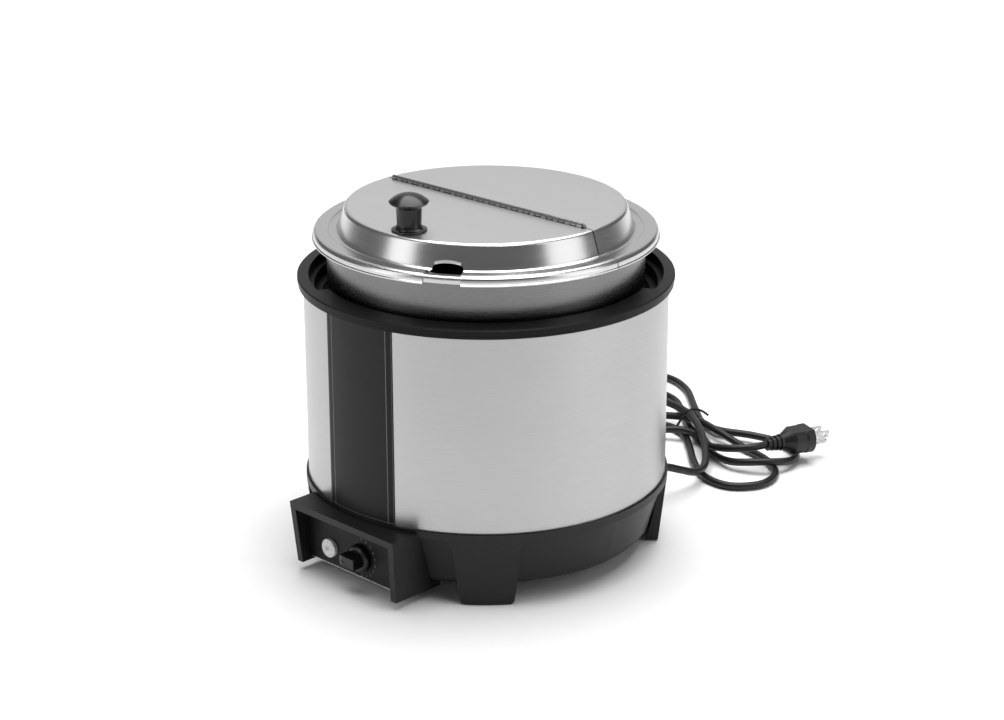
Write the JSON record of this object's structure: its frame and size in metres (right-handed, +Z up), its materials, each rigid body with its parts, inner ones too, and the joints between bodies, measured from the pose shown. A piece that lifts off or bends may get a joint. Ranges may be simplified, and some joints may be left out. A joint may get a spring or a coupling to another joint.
{
  "type": "soup kettle",
  "caption": "Round electric countertop soup kettle with lift-out inset, hinged half lid with knob, control hood and mains lead.",
  "frame": {"origin": "the kettle's axis on the counter, level with the undersides of the foot pads", "axes": "+Z up along the kettle's axis; -Y towards the user, out of the control panel; +X to the user's right"},
  "size_m": [0.3355, 0.5659, 0.3289],
  "materials": {
    "aluminium": "as cast",
    "black_collar": "matte black moulding",
    "black_knob": "polished black phenolic",
    "black_moulding": "fine-textured black moulding",
    "blade_metal": "nickel plated",
    "brushed_shell": "fine brushing round the shell",
    "ceramic": "pale moulded",
    "copper": "drawn",
    "cord_black": "smooth vinyl",
    "graphic_film": "charcoal printed film",
    "heater_sheath": "oxidised sheath",
    "hinge_steel": "polished",
    "inset_steel": "brushed",
    "insulation": "glass-fibre blanket",
    "lens": "milky lens",
    "lid_steel": "satin top, polished edge",
    "plated_steel": "zinc plated",
    "rubber": "matte",
    "well_steel": "drawn",
    "wire": "silicone sleeve"
  },
  "bodies": {
    "root": {"base": "black_moulding", "foot_pads": "rubber", "bottom_cover": "plated_steel", "bottom_screws": "plated_steel", "outer_shell": "brushed_shell", "seam_strip": "plated_steel", "front_strip": "graphic_film", "tie_rods": "plated_steel", "rod_nuts": "plated_steel", "collar": "black_collar", "well_gasket": "rubber", "well": "well_steel", "inset_supports": "well_steel", "insulation": "insulation", "heater_plate": "aluminium", "heater_tube": "heater_sheath", "heater_clamp": "plated_steel", "heater_nuts": "plated_steel", "high_limit": "ceramic", "sensor_bulb": "copper", "sensor_capillary": "copper", "terminal_block": "ceramic", "wiring": "wire", "ground_stud": "copper", "control_hood": "black_moulding", "hood_screws": "plated_steel", "control_panel": "graphic_film", "thermostat_body": "ceramic", "thermostat_nut": "plated_steel", "indicator_lens": "lens", "indicator_body": "ceramic", "strain_relief": "cord_black", "power_cord": "cord_black", "plug_body": "cord_black", "plug_blades": "blade_metal", "cord_tie": "cord_black"},
    "inset": {"inset_pot": "inset_steel", "inset_rim": "inset_steel"},
    "lid_rear": {"lid_rear_half": "lid_steel", "hinge_leaf_rear": "hinge_steel", "hinge_pin": "hinge_steel"},
    "lid_front": {"lid_front_half": "lid_steel", "hinge_leaf_front": "hinge_steel", "lid_knob": "black_knob", "lid_knob_screw": "plated_steel", "lid_knob_washer": "plated_steel"},
    "dial": {"thermostat_knob": "black_knob", "thermostat_shaft": "plated_steel"}
  },
  "joints": [
    {"name": "inset_lift", "type": "slide", "parent": "root", "child": "inset", "axis": [0, 0, 1], "range_m": [0, 0.23]},
    {"name": "lid_lift", "type": "slide", "parent": "inset", "child": "lid_rear", "axis": [0, 0, 1], "range_m": [0, 0.12]},
    {"name": "lid_hinge", "type": "hinge", "parent": "lid_rear", "child": "lid_front", "pos_m": [0, 0, 0.2991], "axis": [-0.9994, -0.0349, 0], "range_deg": [0, 155]},
    {"name": "dial_turn", "type": "hinge", "parent": "root", "child": "dial", "pos_m": [0.0085, -0.1545, 0.0283], "axis": [0, 1, 0], "range_deg": [0, 270]}
  ]
}
